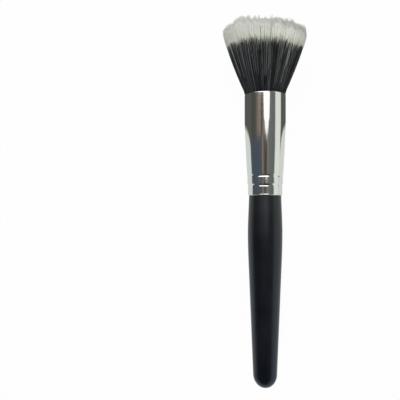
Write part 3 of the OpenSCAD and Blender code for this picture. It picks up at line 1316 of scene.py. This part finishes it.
    def rim_course(self) -> Course:
        """The way of the white fibres round the outside of the crown.

        Returns:
            Their course, before they are pressed up by the table.
        """
        rng, n, share = self.RIM.begin()
        usual, greatest, drop = self.TIP_LIFT
        lifts = np.minimum(rng.exponential(usual, self.RIM_BUNCHES), greatest) - drop
        root = rng.uniform(0.0, math.tau, n)
        lock, across = find_bunch(root + self.RIM_TURN, self.LOCKS)
        bunch, off = find_bunch(root, self.RIM_BUNCHES)
        share_out = 1.0 - self.RIM_DEPTH * rng.uniform(0.0, 1.0, n) ** self.RIM_CROWDING
        lift = lifts[bunch] + self.uneven(root) - self.RIM_DROP
        tip = self.top(share_out * self.sizes.head_d / 2) + lift + rng.normal(0.0, self.RIM_CUT, n)
        height = self.RIM.heights(DARK_TOP - self.RIM_START, tip)
        below, span = self.RIM_SHOWS
        shown = smooth((height - (self.dark_top(root)[:, None] - below)) / span)
        radius = self.bundle(height) * (share_out[:, None] - (1.0 - shown) * self.RIM_TUCK)
        gather = -across[:, None] * math.tau / self.LOCKS * self.RIM_LOCK_PULL * share**self.LOCK_PULL_BEND
        pinch = -off[:, None] * math.tau / self.RIM_BUNCHES * self.RIM_PULL * share**self.RIM_PULL_BEND
        angle = root[:, None] + rng.normal(0.0, self.RIM_SWAY, n)[:, None] * share + gather + pinch
        thick = self.RIM.radii(rng, n)
        shade = self.RIM_SHADE + self.RIM_LOCK_SHADE * rng.normal(0.0, 1.0, self.LOCKS)[lock]
        shade = shade + rng.normal(0.0, self.RIM_OWN_SHADE, n)
        shade = np.clip(shade - self.RIM_HIGH_SHADE * np.clip(lifts[bunch], 0.0, 1.0), 0.0, 1.0)
        return Course(radius, angle, height, thick, shade)

    def dome_course(self) -> Course:
        """The way of the white fibres whose tips make the top of the crown.

        Returns:
            Their course, before they are pressed up by the table.
        """
        rng, n, share = self.DOME.begin()
        share_out = self.DOME_SHARE * np.sqrt(rng.uniform(0.0, 1.0, n))
        root = rng.uniform(0.0, math.tau, n)
        first, span = self.DOME_EDGE
        edge = smooth((share_out - first) / span)
        lift = edge * (self.uneven(root) - self.RIM_DROP - self.DOME_DROP)
        tip = self.top(share_out * self.sizes.head_d / 2) + rng.normal(0.0, self.DOME_CUT, n) + lift
        height = tip[:, None] - self.DOME_LEN * (1.0 - share)
        radius = self.bundle(height) * share_out[:, None]
        angle = root[:, None] + rng.normal(0.0, self.DOME_SWAY, n)[:, None] * share
        thick = self.DOME.radii(rng, n)
        shade = np.clip(rng.normal(*self.DOME_SHADE, n), 0.0, 1.0)
        return Course(radius, angle, height, thick, shade)

    def mass_outline(self, low: float, high: float, inset: float, share: float, rise: float) -> Profile:
        """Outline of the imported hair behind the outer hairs.

        Args:
            low: Height of its foot.
            high: Height of its top at the edge.
            inset: How far it lies under the bundle's outside.
            share: How much of that it has at the foot, from 0 to 1.
            rise: How much higher the middle of its top stands.

        Returns:
            Its outline.
        """
        heights = np.linspace(low, high, self.SIDE_POINTS)
        along = (heights - low) / (high - low)
        radii = self.bundle(heights) - inset * (share + (1 - share) * along)
        side = [(float(r), float(h)) for r, h in zip(radii, heights)]
        inwards = [1 - i / self.DOME_POINTS for i in range(1, self.DOME_POINTS)]
        dome = [(side[-1][0] * t, high + rise * (1 - t**2)) for t in inwards]
        return [(0.0, low)] + side + dome + [(0.0, high + rise)]

    def build(self) -> None:
        """Builds the hair from the inside out."""
        black = Fibre("black_hair", ((0.0, "#17191c"), (0.4, "#2b2e31"), (0.75, "#505356"), (1.0, "#8b8e8e")),
                      root="#1a1c22", root_share=0.5, root_end=0.35, tip="#4a4c4a", tip_share=0.4,
                      roughness=0.42)
        stray = Fibre("long_white_fibre", ((0.0, "#5e6262"), (0.5, "#a6aaa6"), (1.0, "#e6eadd")),
                      root="#44474a", root_share=0.5, root_end=0.5, tip="#d2d5cb", tip_share=0.75,
                      roughness=0.45)
        # The nylon's root tint is darker and yellower: partly the fibre's own yellow tone, partly painted
        # shade among the black tips.
        nylon = Fibre("white_nylon_fibre", ((0.0, "#ced1c7"), (0.5, "#edefe7"), (1.0, "#f9faf5")),
                      root="#cacea6", root_share=0.8, root_end=0.75, tip="#babdb2", tip_share=0.3,
                      roughness=0.5)
        cut = replace(nylon, name="cut_nylon_tips", root_share=0.4, root_end=0.6, tip_share=0.2)
        dark_mass = self.mass_outline(low=MOUTH - 2.0, high=DARK_TOP, inset=1.5, share=0.3, rise=0.0)
        white_mass = self.mass_outline(low=DARK_TOP - 3.0, high=self.shoulder - 5.2, inset=1.9, share=1.0,
                                       rise=5.3)
        for name, outline, finish, slot, node in (
                ("dark_hair_mass", dark_mass, HairMass("black_hair_mass", "#0e0f12", "#202327"),
                 Slot.DARK_HAIR, "dark_hair"),
                ("white_crown_mass", white_mass, HairMass("white_fibre_mass", "#d0d4c8", "#f2f4ec"),
                 Slot.WHITE_FIBRES, "white_crown")):
            finish_piece(self.lathe.turn(name, outline, finish, self.MASS_STEPS), node)
        for name, course, finish, slot, node in (
                ("dark_hairs", self.dark_course(), black, Slot.DARK_HAIR, "dark_hair"),
                ("long_white_fibres", self.stray_course(), stray, Slot.WHITE_FIBRES, "white_strands"),
                ("crown_rim_fibres", self.rim_course(), nylon, Slot.WHITE_FIBRES, "white_crown"),
                ("crown_top_fibres", self.dome_course(), cut, Slot.WHITE_FIBRES, "white_crown")):
            finish_piece(self.comb.draw(name, self.pressed(course), finish), node)


@dataclass(frozen=True)
class Backdrop:
    """The walls that the metal mirrors, as angles round the brush and along it, in degrees.

    Angles round the brush run from straight up towards +X. Angles along it run towards the head.
    The walls at the head's end stand above the horizon angle, and the other ones below it.

    Attributes:
        head_walls: Angle and wall of each edge round the head's end.
        side_walls: The same beside the handle.
        horizon: Angle along the brush at which the two rows of walls meet.
        horizon_soft: Half width of that edge.
        strip_middle: Angle round the brush of the softbox's long corner.
        strip_tip: Angle along the brush at which that corner ends.
        strip_spread: How fast the corner widens near its tip, in degrees a degree.
        strip_base: Half width that the corner's slow flare starts from.
        strip_widest: Half width at which the flare ends.
        strip_soft: Half width of its edge.
        box_low: Angle along the brush from which the softbox fills the head's end.
        box_low_soft: Half width of that edge.
        box_left: Left edge of that softbox, as the X part of its direction.
        box_right: Right edge, likewise.
        box_soft: Half width of these two edges, likewise.
        box_power: How much brighter than white that softbox is.
        end_high: Angle along the brush below which the dark panel past the butt stands.
        end_spread: Half width of that panel round the brush.
        end_soft: Half width of its edges.
    """

    head_walls: tuple[tuple[float, Wall], ...] = (
        (-96, Wall.BLACK_FLAG), (-89, Wall.OLIVE_WALL), (-72, Wall.OLIVE_WALL), (-61, Wall.BROWN_WALL),
        (-46, Wall.WARM_WALL), (-38, Wall.CEILING_BEAM), (-33, Wall.WARM_WALL), (-27, Wall.CEILING),
        (-24, Wall.CEILING), (-20, Wall.WARM_WALL), (-14, Wall.CEILING_BEAM), (-3, Wall.CEILING_BEAM),
        (7, Wall.GREY_WALL), (28, Wall.GREY_WALL), (48, Wall.GREY_EDGE), (54, Wall.REFLECTOR),
        (87, Wall.REFLECTOR), (94, Wall.BLACK_FLAG))
    side_walls: tuple[tuple[float, Wall], ...] = (
        (-100, Wall.PAPER), (-94, Wall.COOL_WALL), (-42, Wall.COOL_WALL), (-29, Wall.BROWN_WALL),
        (-21, Wall.CEILING_BEAM), (-14, Wall.BROWN_WALL), (-5, Wall.CEILING), (2, Wall.CEILING),
        (9, Wall.CEILING_BEAM), (15, Wall.GREY_WALL), (49, Wall.GREY_EDGE), (56, Wall.REFLECTOR))
    horizon: float = 2.8
    horizon_soft: float = 0.4
    strip_middle: float = 1.5
    strip_tip: float = 2.4
    strip_spread: float = 6.0
    strip_base: float = 5.6
    strip_widest: float = 18.0
    strip_soft: float = 0.8
    box_low: float = 14.5
    box_low_soft: float = 2.0
    box_left: float = -0.66
    box_right: float = 0.19
    box_soft: float = 0.05
    box_power: float = 2.2
    end_high: float = -22.0
    end_spread: float = 26.0
    end_soft: float = 6.0

    def area(self, tree: Tree, *edges: tuple[Any, float, float]) -> Node:
        """Adds an area of the walls that ends softly.

        Args:
            tree: The world's tree.
            *edges: For each edge the angle or the direction that it cuts, where it does, and its half
                width. With a minus sign before the half width, the area lies below the edge.

        Returns:
            How much of the area is seen.
        """
        seen = 1.0
        for value, middle, soft in edges:
            edge = add_node(tree, "MapRange", [value, middle - soft, middle + soft])
            seen = add_node(tree, "Math", [seen, edge], operation="MULTIPLY")
        return seen

    def corner(self, tree: Tree, off: Node, along: Node) -> Node:
        """Adds the softbox's long corner, which comes to a point above the ferrule.

        Args:
            tree: The world's tree.
            off: Angle round the brush from the corner's middle.
            along: Angle along the brush.

        Returns:
            How far inside the corner each direction is.
        """
        fast = add_node(tree, "Math", [along, self.strip_spread, -self.strip_spread * self.strip_tip],
                        operation="MULTIPLY_ADD")
        slow = add_node(tree, "MapRange", [along, 0.0, self.strip_widest - self.strip_base,
                                           self.strip_base, self.strip_widest])
        half = add_node(tree, "Math", [fast, slow], operation="MINIMUM")
        return add_node(tree, "Math", [half, off], operation="SUBTRACT")

    def colour(self, tree: Tree, lean: float) -> Node:
        """Adds the nodes that colour the walls by their direction.

        Args:
            tree: The world's tree.
            lean: Angle by which the brush leans up towards its head, in radians.

        Returns:
            The colour in each direction.
        """
        way = add_node(tree, "TexCoord").outputs["Generated"]
        level = add_node(tree, "VectorRotate", {"Vector": way, "Angle": -lean}, rotation_type="X_AXIS")
        parts = add_node(tree, "SeparateXYZ", [level]).outputs
        turned = add_node(tree, "Math", [parts["X"], parts["Z"]], operation="ARCTAN2")
        raised = add_node(tree, "Math", [parts["Y"]], operation="ARCSINE")
        turn, along = (add_node(tree, "Math", [angle], operation="DEGREES") for angle in (turned, raised))
        share = add_node(tree, "MapRange", [turn, -180.0, 180.0])
        rows = [[(angle / 360 + 0.5, wall.value) for angle, wall in walls]
                for walls in (self.side_walls, self.head_walls)]
        side, head = (add_node(tree, "ValToRGB", [share], row) for row in rows)
        rising = self.area(tree, (along, self.horizon, self.horizon_soft))
        shown = add_node(tree, "Mix", [rising, side, head], data_type="RGBA")
        off = add_node(tree, "Math", [turn, self.strip_middle], operation="SUBTRACT")
        off = add_node(tree, "Math", [off], operation="ABSOLUTE")
        panel = self.area(tree, (along, self.end_high, -self.end_soft),
                          (off, self.end_spread, -self.end_soft))
        strip = self.area(tree, (self.corner(tree, off, along), 0.0, self.strip_soft))
        box = self.area(tree, (parts["X"], self.box_left, self.box_soft),
                        (parts["X"], self.box_right, -self.box_soft),
                        (along, self.box_low, self.box_low_soft))
        for area, power, wall in ((panel, 1.0, Wall.END_WALL), (strip, 1.0, Wall.SOFTBOX),
                                  (box, self.box_power, Wall.SOFTBOX)):
            colour = [power * part for part in linear(wall.value)[:3]] + [1.0]
            shown = add_node(tree, "Mix", [area, shown, colour], data_type="RGBA")
        return shown


@dataclass(frozen=True)
class StudioSizes:
    """Sizes and places in the studio, in metres in the row frame unless a name ends in mm.

    Attributes:
        floor: Side of the floor.
        paper_end: Where the white paper ends that the metal mirrors in the floor's place, on the left.
        paper_edge: Width of that edge.
        card: Side of the dark card under the head.
        card_lift: Height of the card above the floor.
        card_start: Where the card begins.
        card_edge: Width of its soft edge there.
        card_slant: How much nearer the butt it begins for each metre to the left.
        lens_mm: Focal length.
        sensor_mm: Width of the sensor.
        distance_mm: Height of the camera above the brush's axis.
        aim_mm: Height on the upright brush that the camera looks at.
        aside_mm: How far to the right of the axis it stands.
        clip: Nearest and farthest distance that it sees.
        lamp: Side of each lamp.
    """

    floor: float = 6.0
    paper_end: float = -0.115
    paper_edge: float = 0.02
    card: float = 5.8
    card_lift: float = 0.00005
    card_start: float = 0.0395
    card_edge: float = 0.004
    card_slant: float = 0.074
    lens_mm: float = 45.0
    sensor_mm: float = 36.0
    distance_mm: float = 237.0
    aim_mm: float = 88.8
    aside_mm: float = -30.85
    clip: tuple[float, float] = (0.01, 50.0)
    lamp: float = 0.6


class Studio:
    """The pale floor, the soft lamps, the surroundings and the camera."""

    LAMPS = (("key", (-0.18, 0.2, 0.94), Light.KEY), ("fill", (0.2, -0.3, 0.9), Light.FILL),
             ("end_lamp", (-0.3, 0.8, 0.33), Light.END))
    # The rest of what the camera sees of the floor is lit paper, which shows the shadow.
    WHITE_SHARE = 0.97

    def __init__(self, sizes: StudioSizes, axis: Axis) -> None:
        """Keeps the sizes, and the lie of the brush, which the camera squares up to."""
        self.sizes = sizes
        self.axis = axis

    def camera(self) -> None:
        """Sets the camera square above the brush, a little to its left."""
        s = self.sizes
        data = bpy.data.cameras.new("camera")
        data.lens = s.lens_mm
        data.sensor_width = s.sensor_mm
        data.clip_start, data.clip_end = s.clip
        camera = new_object("camera", data)
        place = self.axis.lie @ Vector((s.aside_mm, -s.distance_mm, s.aim_mm))
        across, down, along = (self.axis.lie.to_3x3().col[i].normalized() for i in range(3))
        turn = Matrix((across, along, -down)).transposed().to_4x4()
        camera.matrix_world = Matrix.Translation(place) @ turn
        bpy.context.scene.camera = camera

    def sheet(self, name: str, size: float, lift: float, material: bpy.types.Material) -> bpy.types.Object:
        """Lays a square sheet of the studio, which lights nothing by itself.

        Args:
            name: The sheet's name.
            size: Length of its side.
            lift: Its height.
            material: Its material.

        Returns:
            The sheet.
        """
        material.cycles.emission_sampling = "NONE"
        bm = bmesh.new()
        bmesh.ops.create_grid(bm, x_segments=1, y_segments=1, size=size / 2,
                              matrix=Matrix.Translation((0.0, 0.0, lift)))
        mesh = to_mesh(bm, name)
        mesh.materials.append(material)
        sheet = new_object(name, mesh)
        return sheet

    def by_ray(self, tree: Tree, lit: Node, seen: Node, mirrored: Node, share: float) -> Node:
        """Shows one shader to the camera, another one in mirrors and a third to other light.

        Args:
            tree: The tree.
            lit: What other light meets.
            seen: What the camera sees.
            mirrored: What shows in mirrors.
            share: How much of what the camera sees is that. The rest is as other light meets it.

        Returns:
            The mixed shader.
        """
        ray = add_node(tree, "LightPath").outputs
        direct = add_node(tree, "Math", [ray["Is Camera Ray"], ray["Is Transmission Ray"]],
                          operation="ADD", use_clamp=True)
        white = add_node(tree, "Math", [direct, share], operation="MULTIPLY")
        straight = add_node(tree, "MixShader", [white, lit, seen])
        return add_node(tree, "MixShader", [ray["Is Glossy Ray"], straight, mirrored])

    def floor(self) -> None:
        """Lays the floor, almost white to the camera. The metal mirrors paper there, up to its edge."""
        s = self.sizes
        material = new_material("pale_floor")
        tree = material.node_tree
        place = add_node(tree, "TexCoord").outputs["Object"]
        across = add_node(tree, "SeparateXYZ", [place]).outputs["X"]
        laid = add_node(tree, "MapRange", [across, s.paper_end, s.paper_end + s.paper_edge])
        shade = add_node(tree, "Mix", [laid, Wall.COOL_WALL.value, Wall.PAPER.value], data_type="RGBA")
        mirrored = add_node(tree, "Emission", [shade, Light.MIRRORED.value])
        paper = add_node(tree, "BsdfDiffuse", ["#dcdcdc"])
        white = add_node(tree, "Emission", ["#ffffff", 1.0])
        add_node(tree, "OutputMaterial", [self.by_ray(tree, paper, white, mirrored, self.WHITE_SHARE)])
        self.sheet("floor", s.floor, 0.0, material)

    def card(self) -> None:
        """Lays a dark card under the head, which only the metal and the lacquer mirror."""
        s = self.sizes
        material = new_material("dark_card")
        tree = material.node_tree
        place = add_node(tree, "TexCoord").outputs["Object"]
        parts = add_node(tree, "SeparateXYZ", [place]).outputs
        left = add_node(tree, "Math", [parts["X"], 0.0], operation="MINIMUM")
        along = add_node(tree, "Math", [left, -s.card_slant, parts["Y"]], operation="MULTIPLY_ADD")
        edge = add_node(tree, "MapRange", [along, s.card_start, s.card_start + s.card_edge])
        dark = add_node(tree, "Emission", [Wall.BLACK_FLAG.value, Light.MIRRORED.value])
        faded = add_node(tree, "MixShader", [edge, add_node(tree, "BsdfTransparent"), dark])
        add_node(tree, "OutputMaterial", [faded])
        card = self.sheet("dark_card", s.card, s.card_lift, material)
        card.visible_camera = False
        card.visible_diffuse = False
        card.visible_transmission = False
        card.visible_shadow = False

    def world(self) -> None:
        """Surrounds the brush with soft white, and in mirrors with the walls of the studio."""
        world = bpy.data.worlds.new("studio")
        world.use_nodes = True
        world.cycles.sampling_method = "NONE"
        tree = world.node_tree
        tree.nodes.clear()
        lean = math.acos(-self.axis.lie[2][1] / MM)
        soft = add_node(tree, "Background", ["#ffffff", Light.SKY.value])
        white = add_node(tree, "Background", ["#fefefe", 1.0])
        walls = add_node(tree, "Background", [Backdrop().colour(tree, lean), Light.MIRRORED.value])
        add_node(tree, "OutputWorld", [self.by_ray(tree, soft, white, walls, 1.0)])
        bpy.context.scene.world = world

    def lamp(self, name: str, place: tuple[float, float, float], light: Light) -> None:
        """Hangs one soft lamp that shines at the middle of the brush.

        Args:
            name: The lamp's name.
            place: Where it hangs.
            light: How bright it makes a white card that faces it.
        """
        data = bpy.data.lights.new(name, "AREA")
        data.size = self.sizes.lamp
        data.energy = light.value * math.pi**2 * Vector(place).length**2
        lamp = new_object(name, data)
        lamp.location = place
        lamp.rotation_euler = Vector(place).to_track_quat("Z", "Y").to_euler()
        lamp.visible_glossy = False

    def build(self) -> None:
        """Builds the studio."""
        bpy.context.scene.view_settings.view_transform = "Standard"
        self.camera()
        self.floor()
        self.card()
        self.world()
        for name, place, light in self.LAMPS:
            self.lamp(name, place, light)


def main() -> None:
    """Builds the brush piece by piece, then the studio."""
    logging.basicConfig(level=logging.INFO, format="%(message)s")
    axis = Axis.from_mount(frame["record"]["mounts"][0], BARREL_MIDDLE)
    lathe = Lathe(axis)
    ferrule = Ferrule(FERRULE)
    ferrule.build(lathe)
    Handle(HANDLE, ferrule).build(lathe)
    Head(HEAD, ferrule, lathe, Comb(axis)).build()
    Studio(StudioSizes(), axis).build()


if __name__ == "__main__":
    main()
